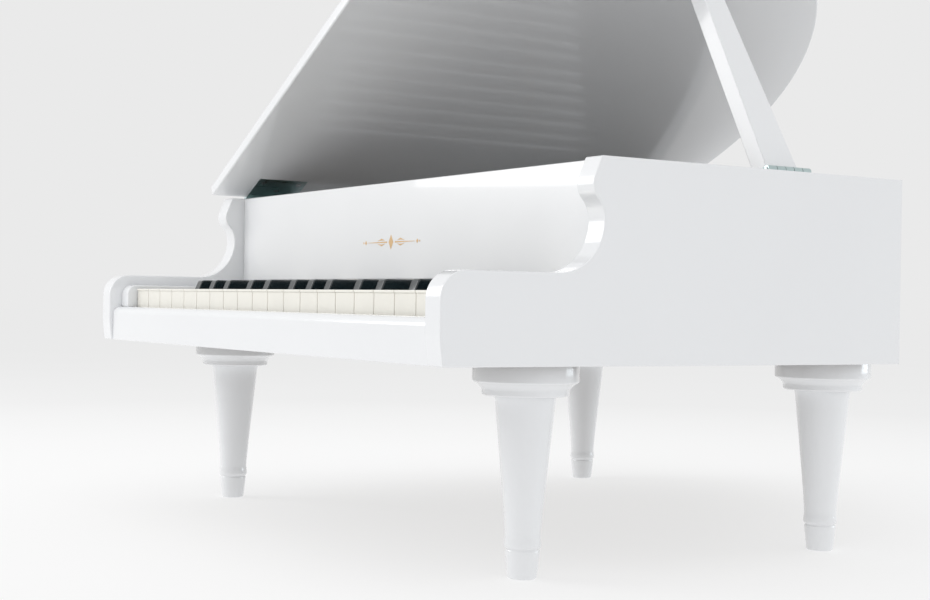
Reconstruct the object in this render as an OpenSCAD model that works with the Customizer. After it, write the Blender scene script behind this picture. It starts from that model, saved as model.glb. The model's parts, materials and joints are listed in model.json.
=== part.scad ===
// Miniature grand piano: thirty-two keys over a scale of struck tone tubes, in a lacquered case.
// Millimetres, +Z up, the keyboard faces -Y. The origin is on the floor under the middle of the case.
// Plan sizes called "back from the front" are measured from the front of the arms.

/* [Case] */
// Width of the case over both sides
case_w = 425; // [380:1:520]
// Depth of the case from the arm fronts to the tail
case_depth = 455; // [430:1:560]
// Height of the underside of the case, which is also the height of the legs
case_bottom = 102; // [70:1:140]
// Height of the sides above the underside of the case
side_h = 96; // [92:1:130]
// Thickness of the sides, the bent side and the fallboard
board_t = 13.4; // [10:0.1:18]
// Thickness of the key bed, the bottom board of the case
bed_t = 9; // [6:0.5:12]
// Length of the straight right side, back from the front
right_side_len = 280; // [260:1:320]
// Height of the arms beside the keys, above the underside of the case
arm_h = 42; // [38:0.5:46]
// Height of the key slip, the rail in front of the keys
slip_h = 21.5; // [18:0.5:23]

/* [Tail] */
// Radius of the round tail
tail_r = 235; // [200:1:260]
// Distance of the round tail's centre from the left side
tail_in = 123.5; // [100:0.5:160]
// Radius of the hollow curve of the bent side
hollow_r = 600; // [450:10:900]
// Radius of the rear left corner
corner_r = 40; // [25:1:60]

/* [Lid] */
// Thickness of the lid
lid_t = 6.8; // [5:0.1:9]
// Gap between the closed lid and the rim
lid_gap = 0.6; // [0.5:0.1:1.5]
// Angle at which the prop holds the lid open
lid_open = 28; // [20:1:35]
// Front edge of the lid, back from the front
lid_front = 75.6; // [60:0.2:84]

/* [Keyboard] */
// Distance from one white key to the next
white_pitch = 19.7; // [19:0.1:20]
// Gap between neighbouring white keys
key_gap = 0.6; // [0.5:0.1:1.2]
// Width of a black key
black_w = 7; // [6:0.1:8]
// Height of the white key tops above the underside of the case
key_top = 33.2; // [32:0.1:36]
// Height of the black keys above the white ones
black_rise = 6.3; // [5:0.1:6.5]
// Front of the white keys, back from the front
key_front = 13.8; // [13:0.1:18]
// Front of the black keys, back from the front
black_front = 47.8; // [40:0.1:56]
// Front face of the fallboard, back from the front
fallboard_front = 93.5; // [92:0.5:100]
// Place of the pivot rod, back from the front
pivot_back = 114; // [112:0.5:122]
// Width of the white keys' wooden levers
lever_w = 8.4; // [7:0.1:8.6]
// Diameter of the pivot rod
rod_d = 2.5; // [2:0.1:3]
// How far a white key goes down at its front
key_dip = 4.4; // [3:0.1:4.6]

/* [Tone tubes] */
// Outer diameter of a tone tube
tube_d = 8; // [7:0.1:8.2]
// Wall of a tone tube
tube_wall = 1; // [0.8:0.1:1.5]
// Length of the longest tone tube
longest_tube = 253; // [230:1:254]
// Height of the tube centres above the underside of the case
tube_height = 48; // [46:0.5:60]

/* [Legs] */
// Distance between the leg centres across the case
leg_span = 336; // [300:1:350]
// Front legs, back from the front
front_leg_back = 75; // [60:1:90]
// Right rear leg, back from the front
right_leg_back = 270; // [240:1:275]
// Left rear leg, back from the front
left_leg_back = 360; // [320:1:375]
// Diameter of the top disc of a leg
leg_disc_d = 51; // [46:0.5:56]
// Diameter of a leg where it leaves its collar
leg_top_d = 29.7; // [26:0.1:34]
// Diameter of the foot on the floor
foot_d = 14; // [12:0.5:18]

/* [Prop] */
// Thickness of the prop
prop_t = 10; // [7:0.5:12]
// Width of the prop at its foot
prop_foot_w = 21.5; // [18:0.5:24]
// Width of the prop at its tip
prop_tip_w = 9; // [7:0.5:14]
// Front edge of the prop, back from the front
prop_back = 198.5; // [180:0.5:200]

/* [Hidden] */
$fn = 96;

semitones = 32;
pitch_names = ["f", "fs", "g", "gs", "a", "as", "b", "c", "cs", "d", "ds", "e"];
// One octave from F: white key counted from the octave's F, and 1 for a black key.
white_step = [0, 0, 1, 1, 2, 2, 3, 4, 4, 5, 5, 6];
is_black = [0, 1, 0, 1, 0, 1, 0, 0, 1, 0, 1, 0];
// How far each black key stands off the line between its two white neighbours.
black_shift = [0, -2.8, 0, 0, 0, 2.8, 0, 0, -2.2, 0, 2.2, 0];

function pitch(k) = k % 12;
function octave(k) = 5 + floor((k + 5) / 12);
function key_name(k) = str("key_", pitch_names[pitch(k)], octave(k));
function black(k) = is_black[pitch(k)] == 1;

// Clearances
play = 0.05; // running fit of a pin in its knuckle or of the rod in a lever
free = 0.4; // between pieces that move past each other
hair = 0.05; // glue line between pieces of one key

// Heights above the floor
rim_top = case_bottom + side_h;
bed_top = case_bottom + bed_t;
white_top = case_bottom + key_top;
black_top = white_top + black_rise;
tube_z = case_bottom + tube_height;
tube_bottom = tube_z - tube_d / 2;

// Plan
half_w = case_w / 2;
inner_half = half_w - board_t;
tail_centre = [tail_in - half_w, case_depth - tail_r];
corner_centre = [corner_r - half_w,
                 tail_centre.y + sqrt(pow(tail_r - corner_r, 2) - pow(tail_in - corner_r, 2))];
bend_corner = [half_w, right_side_len];
// The hollow curve passes through the bend corner and touches the round tail.
to_bend = bend_corner - tail_centre;
hollow_turn = acos((pow(tail_r + hollow_r, 2) + pow(norm(to_bend), 2) - pow(hollow_r, 2))
                   / (2 * (tail_r + hollow_r) * norm(to_bend)));
hollow_angle = atan2(to_bend.y, to_bend.x) + hollow_turn;
hollow_centre = tail_centre + (tail_r + hollow_r) * [cos(hollow_angle), sin(hollow_angle)];
corner_angle = atan2(corner_centre.y - tail_centre.y, corner_centre.x - tail_centre.x);
// Where the bent side's face, or a line inset from it, meets the straight side's
function bend_back(inset) =
    hollow_centre.y - sqrt(pow(hollow_r + inset, 2) - pow(hollow_centre.x - half_w + inset, 2));
mitre_slope = (right_side_len - bend_back(board_t)) / board_t;

// Side profile, in (back, up from the underside of the case)
nose_r = 12.8; // round top of the arm's front
toe_in = 1.6; // how far the arm's foot stands back
bulge_h = 13; // height of the foremost point of the arm
scoop_r = 24.8; // hollow between the arm and the cheek
throat_r = 14; // tighter hollow above it
brow_r = 8.8; // round of the cheek above the throat
brow_slope = 22; // lean of the cheek's top part
scoop_back = fallboard_front - 6.8 - scoop_r;
scoop = [scoop_back, arm_h + scoop_r];
throat = scoop + [scoop_r - throat_r, 0];
brow = throat + (throat_r + brow_r) * [cos(45), sin(45)];
brow_end = brow + brow_r * [-cos(brow_slope), sin(brow_slope)];
top_front = brow_end.x + (side_h - brow_end.y) * tan(brow_slope);

// Keys
keys_half = 19 * white_pitch / 2; // half the width of the white keys together
lever_bottom = bed_top + 8.3;
cap_t = 3.5;
cap_bottom = white_top - cap_t;
lever_top = cap_bottom - hair;
skirt_t = 2.5;
lip_h = 1.4;
lip_out = 0.5;
cap_back = 100;
lever_back = pivot_back + 60;
pivot_z = bed_top + 14;
key_angle = asin(key_dip / (pivot_back - key_front));
hammer_back = lever_back - 6;
hammer_head_r = 2.6;
hammer_rise = (hammer_back + hammer_head_r - pivot_back) * sin(key_angle);
hammer_top = tube_bottom - hammer_rise - free;
weight_r = 3;

// Fallboard and key slip
fallboard_bottom = black_top + 0.8;
slip_front = 2.5;
slip_t = 9.5;
slip_round = 4.5;
block_front = 8;
block_h = 35.5;
block_r = 6;

// Felt and rails
felt_t = 2;
frame_t = 2;
bracket_w = 3.4;
rail_w = 8;
tube_front = lever_back - 14;
node_share = 0.224; // a free bar's still points lie this far in from its ends

// Lid hinges
leaf_t = 1.2;
lid_knuckle_r = 2.2;
lid_axis = [-half_w - lid_knuckle_r - free, rim_top + lid_gap / 2];
lid_bottom = rim_top + lid_gap;
lid_hinge_len = 36;
lid_hinge_places = [101, 335];
lid_leaf_reach = 27.5;
lid_pin_r = 1;
knuckles = 5;

// Prop and its hinge
prop_knuckle_r = 1.9;
prop_pin_r = 0.8;
prop_leaf_t = 0.8;
prop_axis = [inner_half + 0.7, rim_top + 1.5];
prop_hinge_len = 29;
prop_hinge_back = prop_back - 2;
prop_edge_in = 1.2;
prop_len = (prop_axis.x - lid_axis.x) * sin(lid_open) - (prop_axis.y - lid_axis.y) * cos(lid_open)
           + lid_bottom - lid_axis.y - free;
socket_depth = 3.4;

// Legs
leg_x = leg_span / 2;
legs = [[-leg_x, front_leg_back], [leg_x, front_leg_back],
        [-leg_x, left_leg_back], [leg_x, right_leg_back]];
leg_screw_r = 2.5;
leg_screw_up = 6;
leg_screw_down = 22;

/* Places of the keys */

// Left edge of the white key that a semitone lies on or next to
function white_left(k) =
    (7 * floor(k / 12) + white_step[pitch(k)]) * white_pitch - keys_half;
function black_x(k) = white_left(k) + white_pitch + black_shift[pitch(k)];
function black_below(k) = k > 0 && black(k - 1);
function black_above(k) = k < semitones - 1 && black(k + 1);
function tail_left(k) = black_below(k) ? black_x(k - 1) + black_w / 2 + key_gap
                                       : white_left(k) + key_gap / 2;
function tail_right(k) = black_above(k) ? black_x(k + 1) - black_w / 2 - key_gap
                                        : white_left(k) + white_pitch - key_gap / 2;
// No black key follows the top C, but its lever keeps the place that the other C's lever has.
function lever_right(k) = pitch(k) == 7 ? white_left(k) + white_pitch - 2.2 - black_w / 2 - key_gap
                                        : tail_right(k);
function lever_x(k) = black(k) ? black_x(k) : (tail_left(k) + lever_right(k)) / 2;
function between(k) = (lever_x(k) + lever_x(k + 1)) / 2;
// A black key's lever is as wide as the key, so that it clears the white keys' tops beside it.
function lever_width(k) = black(k) ? black_w : lever_w;

/* Places of the tone tubes */
function tube_len(k) = longest_tube * pow(2, -k / 24);
function front_still(k) = tube_front + node_share * tube_len(k);
function rear_still(k) = tube_front + (1 - node_share) * tube_len(k);

/* Helpers */

// From plan places measured back from the front to the part's own origin
module back_from_front() translate([0, -case_depth / 2, 0]) children();

// A shape drawn in (back, up) and extruded along X from x0 to x1
module along_x(x0, x1) translate([x0, 0, 0]) rotate([90, 0, 90]) linear_extrude(x1 - x0) children();

module rod_x(x0, x1, back, up, r) translate([x0, back, up]) rotate([0, 90, 0]) cylinder(h = x1 - x0, r = r);

module rod_y(x, y0, y1, up, r) translate([x, y1, up]) rotate([90, 0, 0]) cylinder(h = y1 - y0, r = r);

// The waste outside an arc between two angles, which rounds the corner of a polygon that meets it
module outside_arc(centre, r, from, to) {
    half = (to - from) / 2;
    difference() {
        polygon([centre + r * [cos(from), sin(from)],
                 centre + (r / cos(half) + 2) * [cos(from + half), sin(from + half)],
                 centre + r * [cos(to), sin(to)]]);
        translate(centre) circle(r, $fn = 360);
    }
}

// Where the tangents at the two ends of an arc meet
function arc_corner(centre, r, from, to) =
    centre + r / cos((to - from) / 2) * [cos((from + to) / 2), sin((from + to) / 2)];

// The case's outline in plan, drawn smaller all round by inset
module plan(inset) {
    w = half_w - inset;
    tail = tail_r - inset;
    corner = corner_r - inset;
    difference() {
        polygon([[-w, 0], [w, 0], [w, bend_back(inset)],
                 tail_centre + tail * [cos(hollow_angle), sin(hollow_angle)],
                 arc_corner(tail_centre, tail, hollow_angle, corner_angle),
                 tail_centre + tail * [cos(corner_angle), sin(corner_angle)],
                 arc_corner(corner_centre, corner, corner_angle, 180),
                 [-w, corner_centre.y]]);
        outside_arc(tail_centre, tail, hollow_angle, corner_angle);
        outside_arc(corner_centre, corner, corner_angle, 180);
        translate(hollow_centre) circle(hollow_r + inset, $fn = 720);
    }
}

// The outline of a side board: a plain board less the air above the arm, three hollows and two rounds
module side_profile(len) {
    lean = [tan(brow_slope), 1];
    difference() {
        polygon([[toe_in, 0], [0, bulge_h], [0, side_h], [len, side_h], [len, 0]]);
        outside_arc([nose_r, arm_h - nose_r], nose_r, 90, 180);
        polygon([[-1, arm_h], [scoop.x, arm_h], [scoop.x, scoop.y - 5], [throat.x, scoop.y - 5],
                 arc_corner(brow, brow_r, 180 - brow_slope, 225), [top_front, side_h] + lean,
                 [-1, side_h + 1]]);
        outside_arc(brow, brow_r, 180 - brow_slope, 225);
        intersection() {
            translate(scoop) circle(scoop_r);
            translate([scoop.x - 0.5, arm_h - 1]) square([scoop_r + 2, scoop_r + 1]);
        }
        intersection() {
            translate(throat) circle(throat_r);
            translate([throat.x - 1, scoop.y]) square([throat_r + 2, throat_r + 1]);
        }
    }
}

// A side board between two places across the case
module side_board(x0, x1, len) translate([0, 0, case_bottom]) along_x(x0, x1) side_profile(len);

/* Case */

module lid_hinge_mortises() {
    for (y = lid_hinge_places)
        translate([-half_w - 1, y - hair, rim_top - leaf_t + lid_gap / 2])
            cube([board_t + 1 - hair, lid_hinge_len + 2 * hair, leaf_t + 1]);
}

module left_side() color("whitesmoke") back_from_front() difference() {
    side_board(-half_w, -inner_half, corner_centre.y);
    lid_hinge_mortises();
    case_leaf_screw_holes();
}

module right_side() color("whitesmoke") back_from_front() difference() {
    side_board(inner_half, half_w, right_side_len);
    mitre_cut();
    translate([inner_half - 1, prop_hinge_back - hair, rim_top - 1])
        cube([board_t - 1, prop_hinge_len + 2 * hair, 2]);
    rim_leaf_screw_holes();
}

// The mitre between the right side and the bent side, drawn long at both ends
mitre_over = 5;
mitre_in = [inner_half - mitre_over, bend_back(board_t) - mitre_over * mitre_slope];
mitre_out = [half_w + mitre_over, right_side_len + mitre_over * mitre_slope];

module mitre_cut() translate([0, 0, case_bottom - 1]) linear_extrude(side_h + 2)
    polygon([mitre_in, mitre_out, [mitre_out.x, case_depth], [mitre_in.x, case_depth]]);

module bent_side() color("whitesmoke") back_from_front()
    translate([0, 0, case_bottom]) linear_extrude(side_h) intersection() {
        difference() {
            plan(0);
            plan(board_t);
        }
        polygon([mitre_in, mitre_out, [mitre_out.x, case_depth + 1], [-half_w - 1, case_depth + 1],
                 [-half_w - 1, corner_centre.y], [mitre_over - inner_half, corner_centre.y]]);
    }

module key_bed() color("tan") back_from_front() difference() {
    translate([0, 0, case_bottom]) linear_extrude(bed_t) difference() {
        plan(board_t);
        translate([-half_w, -1]) square([case_w, slip_front + slip_t + 1]);
    }
    for (p = legs)
        translate([p.x, p.y, case_bottom - 1]) cylinder(h = leg_screw_up + 1, r = leg_screw_r + hair);
}

module fallboard() color("whitesmoke") back_from_front()
    translate([-inner_half, fallboard_front, fallboard_bottom])
        cube([2 * inner_half, board_t, rim_top - fallboard_bottom]);

module key_slip() color("whitesmoke") back_from_front() translate([0, 0, case_bottom])
    along_x(-inner_half, inner_half) difference() {
        translate([slip_front, 0]) square([slip_t, slip_h]);
        outside_arc([slip_front + slip_round, slip_h - slip_round], slip_round, 90, 180);
    }

module key_blocks() color("whitesmoke") back_from_front() for (side = [-1, 1]) {
    x = side * (inner_half + keys_half + free) / 2;
    w = inner_half - keys_half - free;
    slip_back = slip_front + slip_t;
    translate([0, 0, case_bottom]) along_x(x - w / 2, x + w / 2) difference() {
        polygon([[slip_back, bed_t], [slip_back, slip_h], [block_front, slip_h], [block_front, block_h],
                 [fallboard_front, block_h], [fallboard_front, bed_t]]);
        outside_arc([block_front + block_r, block_h - block_r], block_r, 90, 180);
    }
}

/* Action */

// Places of the brackets: both ends, and the gaps of white keys with no black key between them
bracket_xs = concat([lever_x(0) - lever_w / 2 - free - bracket_w / 2],
                    [for (k = [0:semitones - 2]) if (!black(k) && !black(k + 1)) between(k)],
                    [lever_x(semitones - 1) + lever_w / 2 + free + bracket_w / 2]);

// Base plate of the keys with the brackets that hold the pivot rod
module key_frame() color("burlywood") back_from_front() difference() {
    union() {
        translate([-keys_half, key_front + 8, bed_top])
            cube([2 * keys_half, lever_back - key_front - 8, frame_t]);
        for (x = bracket_xs)
            translate([x - bracket_w / 2, pivot_back - 6, bed_top])
                cube([bracket_w, 12, pivot_z + 4 - bed_top]);
    }
    rod_x(-inner_half, inner_half, pivot_back, pivot_z, rod_d / 2);
}

module pivot_rod() color("silver") back_from_front()
    rod_x(bracket_xs[0] - bracket_w / 2, bracket_xs[len(bracket_xs) - 1] + bracket_w / 2,
          pivot_back, pivot_z, rod_d / 2);

// Pins that keep the levers apart, one in each gap and one at each end
module guide_pins() color("silver") back_from_front() {
    pin_r = 0.6;
    end_gap = lever_w / 2 + 1;
    xs = concat([lever_x(0) - end_gap], [for (k = [0:semitones - 2]) between(k)],
                [lever_x(semitones - 1) + end_gap]);
    for (x = xs)
        translate([x, 62, bed_top + frame_t])
            cylinder(h = lever_bottom + 8 - bed_top - frame_t, r = pin_r, $fn = 24);
}

// Outline in plan of a rail under the tubes' still points, from the longest tube to the shortest
module rail_plan(place) {
    over = 7;
    ks = [for (k = [0:semitones - 1]) k];
    ends = [[lever_x(0) - over, lever_x(0)], [lever_x(semitones - 1), lever_x(semitones - 1) + over]];
    function back(k) = place == "front" ? front_still(k) : rear_still(k);
    polygon(concat([[ends[0][0], back(0) - rail_w / 2]],
                   [for (k = ks) [lever_x(k), back(k) - rail_w / 2]],
                   [[ends[1][1], back(semitones - 1) - rail_w / 2],
                    [ends[1][1], back(semitones - 1) + rail_w / 2]],
                   [for (k = ks) [lever_x(semitones - 1 - k), back(semitones - 1 - k) + rail_w / 2]],
                   [[ends[0][0], back(0) + rail_w / 2]]));
}

module tube_rails() color("burlywood") back_from_front() for (place = ["front", "rear"])
    translate([0, 0, bed_top]) linear_extrude(tube_bottom - felt_t - bed_top) rail_plan(place);

// Felt under the key fronts, under the lever tails and on both tube rails
module felt_strips() color("firebrick") back_from_front() {
    stop_top = lever_bottom - (pivot_back - key_front - 10) * sin(key_angle) - free;
    translate([-keys_half, key_front + 10, bed_top + frame_t])
        cube([2 * keys_half, 12, stop_top - bed_top - frame_t]);
    translate([-keys_half, lever_back - 9, bed_top + frame_t])
        cube([2 * keys_half, 9, lever_bottom - free - bed_top - frame_t]);
    for (place = ["front", "rear"])
        translate([0, 0, tube_bottom - felt_t]) linear_extrude(felt_t) rail_plan(place);
}

module tone_tubes() color("lightgray") back_from_front() for (k = [0:semitones - 1]) difference() {
    rod_y(lever_x(k), tube_front, tube_front + tube_len(k), tube_z, tube_d / 2);
    rod_y(lever_x(k), tube_front - 1, tube_front + tube_len(k) + 1, tube_z, tube_d / 2 - tube_wall);
    for (y = [front_still(k), rear_still(k)])
        translate([lever_x(k), y, tube_bottom - 1]) cylinder(h = tube_d + 2, r = 1.1, $fn = 24);
}

// Headed pins that hold each tube at its two still points
module tube_pins() color("goldenrod") back_from_front() for (k = [0:semitones - 1])
    for (y = [front_still(k), rear_still(k)]) translate([lever_x(k), y, 0]) {
        translate([0, 0, tube_bottom - 12]) cylinder(h = tube_d + 12.5, r = 0.8, $fn = 24);
        translate([0, 0, tube_z + tube_d / 2 + 0.3]) cylinder(h = 0.8, r = 1.9, $fn = 24);
    }

/* Keys: the lever, its cap, the hammer head on its tail and the weight that brings it back */

module lever(k, front) difference() {
    translate([lever_x(k) - lever_width(k) / 2, front, lever_bottom])
        cube([lever_width(k), lever_back - front, lever_top - lever_bottom]);
    rod_x(-case_w, case_w, pivot_back, pivot_z, rod_d / 2 + play);
    rod_x(-case_w, case_w, lever_back - 22, pivot_z, weight_r + hair);
}

module hammer(k) {
    w = 6;
    x = lever_x(k);
    translate([x - w / 2, hammer_back - hammer_head_r, lever_top + hair])
        cube([w, 2 * hammer_head_r, hammer_top - hammer_head_r - lever_top - hair]);
    rod_x(x - w / 2, x + w / 2, hammer_back, hammer_top - hammer_head_r, hammer_head_r);
}

module weight(k) {
    w = lever_width(k) - 0.6;
    rod_x(lever_x(k) - w / 2, lever_x(k) + w / 2, lever_back - 22, pivot_z, weight_r);
}

module white_cap(k) {
    left = white_left(k) + key_gap / 2;
    w = white_pitch - key_gap;
    head_back = black_front - key_gap;
    translate([left, key_front, cap_bottom]) cube([w, head_back - key_front, cap_t]);
    translate([tail_left(k), head_back - 1, cap_bottom])
        cube([tail_right(k) - tail_left(k), cap_back - head_back + 1, cap_t]);
    translate([left, key_front + lip_out, lever_bottom])
        cube([w, skirt_t - lip_out, white_top - lip_h - lever_bottom]);
}

module black_cap(k) {
    cap_h = black_top - cap_bottom;
    translate([0, 0, cap_bottom]) along_x(black_x(k) - black_w / 2, black_x(k) + black_w / 2)
        polygon([[black_front, 0], [black_front, cap_t], [black_front + 2.4, cap_h - 0.6],
                 [black_front + 3.2, cap_h], [cap_back, cap_h], [cap_back, 0]]);
}

module white_key(k) {
    color("ivory") white_cap(k);
    color("burlywood") {
        difference() {
            lever(k, key_front + skirt_t + hair);
            translate([-case_w, 0, cap_bottom - hair]) cube([2 * case_w, case_depth, 1]);
        }
    }
}

module black_key(k) {
    color("black") black_cap(k);
    color("burlywood") lever(k, black_front + 1);
}

module key(k) back_from_front() {
    if (black(k)) black_key(k);
    else white_key(k);
    color("whitesmoke") hammer(k);
    color("dimgray") weight(k);
}

/* Hinges */

// One leaf's share of the barrel, seen with the barrel along Y, and the plate that joins it
module barrel(r, y0, length, first) for (n = [first:2:knuckles - 1]) {
    step = length / knuckles;
    gap = 0.15;
    rod_y(0, y0 + n * step + (n == 0 ? 0 : gap), y0 + (n + 1) * step - (n == knuckles - 1 ? 0 : gap), 0, r);
}

// The space that the other leaf's knuckles turn in
module barrel_room(r, y0, length, first) for (n = [first:2:knuckles - 1]) {
    step = length / knuckles;
    rod_y(0, y0 + n * step - 0.15, y0 + (n + 1) * step + 0.15, 0, r + free);
}

module at_lid_axis() translate([lid_axis.x, 0, lid_axis.y]) children();

// Moves a piece drawn with the lid shut to where the prop holds it
module opened() at_lid_axis() rotate([0, -lid_open, 0]) translate([-lid_axis.x, 0, -lid_axis.y]) children();

// Where the lid's screws stand in one hinge: across the leaf, and along it
lid_leaf_screws = [[lid_leaf_reach - 5, 5], [lid_leaf_reach - 5, lid_hinge_len - 5],
                   [lid_leaf_reach - 14, lid_hinge_len / 2]];
case_leaf_screws = [[9.5, 5], [9.5, lid_hinge_len - 5]];
screw_r = 0.9;
screw_head_r = 2;
screw_len = 5;

// A countersunk screw that points along +Z, with its head's face at z = 0
module small_screw(grow) {
    cylinder(h = 1, r1 = screw_head_r + grow, r2 = screw_r + grow, $fn = 32);
    cylinder(h = screw_len + grow, r = screw_r + grow, $fn = 32);
}

module lid_screw_places() for (y = lid_hinge_places) for (s = lid_leaf_screws)
    translate([lid_axis.x + s.x, y + s.y, lid_bottom]) children();

module case_screw_places() for (y = lid_hinge_places) for (s = case_leaf_screws)
    translate([lid_axis.x + s.x, y + s.y, rim_top + lid_gap / 2]) rotate([180, 0, 0]) children();

module case_leaf_screw_holes() case_screw_places() small_screw(hair);

module lid_hinge_case_leaves() color("silver") back_from_front() difference() {
    for (y = lid_hinge_places) {
        difference() {
            union() {
                translate([lid_axis.x, y, rim_top - leaf_t + lid_gap / 2])
                    cube([inner_half * -1 - lid_axis.x - 2 * hair, lid_hinge_len, leaf_t]);
                at_lid_axis() barrel(lid_knuckle_r, y, lid_hinge_len, 0);
            }
            at_lid_axis() barrel_room(lid_knuckle_r, y, lid_hinge_len, 1);
            at_lid_axis() rod_y(0, y - 1, y + lid_hinge_len + 1, 0, lid_pin_r + play);
        }
    }
    case_leaf_screw_holes();
}

module lid_hinge_lid_leaves() color("slategray") back_from_front() opened() difference() {
    for (y = lid_hinge_places) {
        difference() {
            union() {
                translate([lid_axis.x, y, lid_bottom]) cube([lid_leaf_reach, lid_hinge_len, leaf_t]);
                at_lid_axis() barrel(lid_knuckle_r, y, lid_hinge_len, 1);
            }
            at_lid_axis() barrel_room(lid_knuckle_r, y, lid_hinge_len, 0);
            at_lid_axis() rod_y(0, y - 1, y + lid_hinge_len + 1, 0, lid_pin_r + play);
        }
    }
    lid_screw_places() small_screw(hair);
}

module lid_hinge_pins() color("silver") back_from_front() for (y = lid_hinge_places)
    at_lid_axis() rod_y(0, y - 0.8, y + lid_hinge_len + 0.8, 0, lid_pin_r);

module lid_screws() color("silver") back_from_front() opened() lid_screw_places() small_screw(0);

/* Lid */

module lid() color("whitesmoke") back_from_front() opened() difference() {
    translate([0, 0, lid_bottom]) linear_extrude(lid_t) difference() {
        plan(0);
        translate([-half_w - 1, -1]) square([case_w + 2, lid_front + 1]);
    }
    for (y = lid_hinge_places)
        translate([-half_w - 1, y - hair, lid_bottom - 1])
            cube([lid_leaf_reach + lid_axis.x + half_w + 1 + hair, lid_hinge_len + 2 * hair,
                  leaf_t + 1 + hair]);
    lid_screw_places() small_screw(hair);
    translate([prop_axis.x - prop_t - 6, prop_hinge_back - 3, lid_bottom - 1])
        cube([prop_t + 12, prop_hinge_len + 6, socket_depth + 1]);
}

/* Prop */

module at_prop_axis() translate([prop_axis.x, 0, prop_axis.y]) children();

// Moves a piece drawn upright on the prop's axis to the lean of the standing prop
module leaning() at_prop_axis() rotate([0, -lid_open, 0]) children();

module prop() color("whitesmoke") back_from_front() leaning() translate([-prop_t - prop_edge_in, 0, 0])
    along_x(0, prop_t)
        polygon([[prop_back, prop_knuckle_r], [prop_back + prop_foot_w, prop_knuckle_r],
                 [prop_back + prop_tip_w, prop_len], [prop_back, prop_len]]);

rim_leaf_screws = [6.5, prop_hinge_len - 6.5];

module rim_screw_places() for (y = rim_leaf_screws)
    translate([prop_axis.x + 7, prop_hinge_back + y, rim_top]) rotate([180, 0, 0]) children();

module rim_leaf_screw_holes() rim_screw_places() small_screw(hair);

module prop_hinge_rim_leaf() color("silver") back_from_front() difference() {
    union() {
        translate([prop_axis.x, prop_hinge_back, rim_top - 1]) cube([10, prop_hinge_len, 1]);
        at_prop_axis() barrel(prop_knuckle_r, prop_hinge_back, prop_hinge_len, 0);
    }
    at_prop_axis() barrel_room(prop_knuckle_r, prop_hinge_back, prop_hinge_len, 1);
    at_prop_axis()
        rod_y(0, prop_hinge_back - 1, prop_hinge_back + prop_hinge_len + 1, 0, prop_pin_r + play);
    rim_leaf_screw_holes();
}

module prop_hinge_prop_leaf() color("silver") back_from_front() leaning() difference() {
    union() {
        translate([-prop_t - prop_edge_in - 0.8, prop_hinge_back, prop_knuckle_r - prop_leaf_t])
            cube([prop_t + prop_edge_in + 0.8, prop_hinge_len - 4, prop_leaf_t]);
        barrel(prop_knuckle_r, prop_hinge_back, prop_hinge_len, 1);
    }
    barrel_room(prop_knuckle_r, prop_hinge_back, prop_hinge_len, 0);
    rod_y(0, prop_hinge_back - 1, prop_hinge_back + prop_hinge_len + 1, 0, prop_pin_r + play);
}

module prop_hinge_pin() color("silver") back_from_front() at_prop_axis()
    rod_y(0, prop_hinge_back - 0.5, prop_hinge_back + prop_hinge_len + 0.5, 0, prop_pin_r);

/* Legs */

// Turned outline in (radius, up from the floor)
module leg_outline() {
    collar_r = leg_disc_d / 2 - 4.5;
    disc_h = 9.5;
    collar_h = 6;
    neck = case_bottom - disc_h - collar_h;
    ring_r = foot_d / 2 + 1.9;
    ankle = 21;
    difference() {
        polygon([[0, 0], [foot_d / 2, 0], [ring_r - 0.4, 13], [ring_r - 0.4, 14.5], [ring_r, 15],
                 [ring_r, 18], [ring_r - 0.5, ankle], [leg_top_d / 2, neck], [collar_r, neck],
                 [collar_r, neck + collar_h - 2.5], [leg_disc_d / 2 - 2, neck + collar_h],
                 [leg_disc_d / 2, neck + collar_h + 2], [leg_disc_d / 2, case_bottom], [0, case_bottom]]);
        translate([0, case_bottom - leg_screw_down]) square([leg_screw_r + hair, leg_screw_down + 1]);
    }
}

module leg(n) color("whitesmoke") back_from_front() translate([legs[n].x, legs[n].y, 0])
    rotate_extrude() leg_outline();

// Screws of the fixed pieces: one in each leg, two in each case leaf and two in the rim leaf
module case_screws() color("silver") back_from_front() {
    for (p = legs)
        translate([p.x, p.y, case_bottom - leg_screw_down + 0.5])
            cylinder(h = leg_screw_down + leg_screw_up - 1, r = leg_screw_r);
    case_screw_places() small_screw(0);
    rim_screw_places() small_screw(0);
}

left_side();
right_side();
bent_side();
key_bed();
fallboard();
key_slip();
key_blocks();
key_frame();
pivot_rod();
guide_pins();
felt_strips();
tube_rails();
tone_tubes();
tube_pins();
lid();
lid_hinge_case_leaves();
lid_hinge_lid_leaves();
lid_hinge_pins();
lid_screws();
prop();
prop_hinge_rim_leaf();
prop_hinge_prop_leaf();
prop_hinge_pin();
leg(0);  // leg_front_left
leg(1);  // leg_front_right
leg(2);  // leg_rear_left
leg(3);  // leg_rear_right
case_screws();
for (k = [0:semitones - 1])
    key(k);
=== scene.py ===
"""Looks of a playable miniature grand piano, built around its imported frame.

The file is laid out as an add-on: the sizes and colours sit in two property groups, each piece or
group of like pieces has an operator, and main() calls the operators in order.
"""

import json
import math

import bmesh
import bpy
from bpy.props import FloatProperty, FloatVectorProperty, IntProperty, PointerProperty
from bpy.types import Operator, Panel, PropertyGroup
from mathutils import Matrix, Vector


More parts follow.
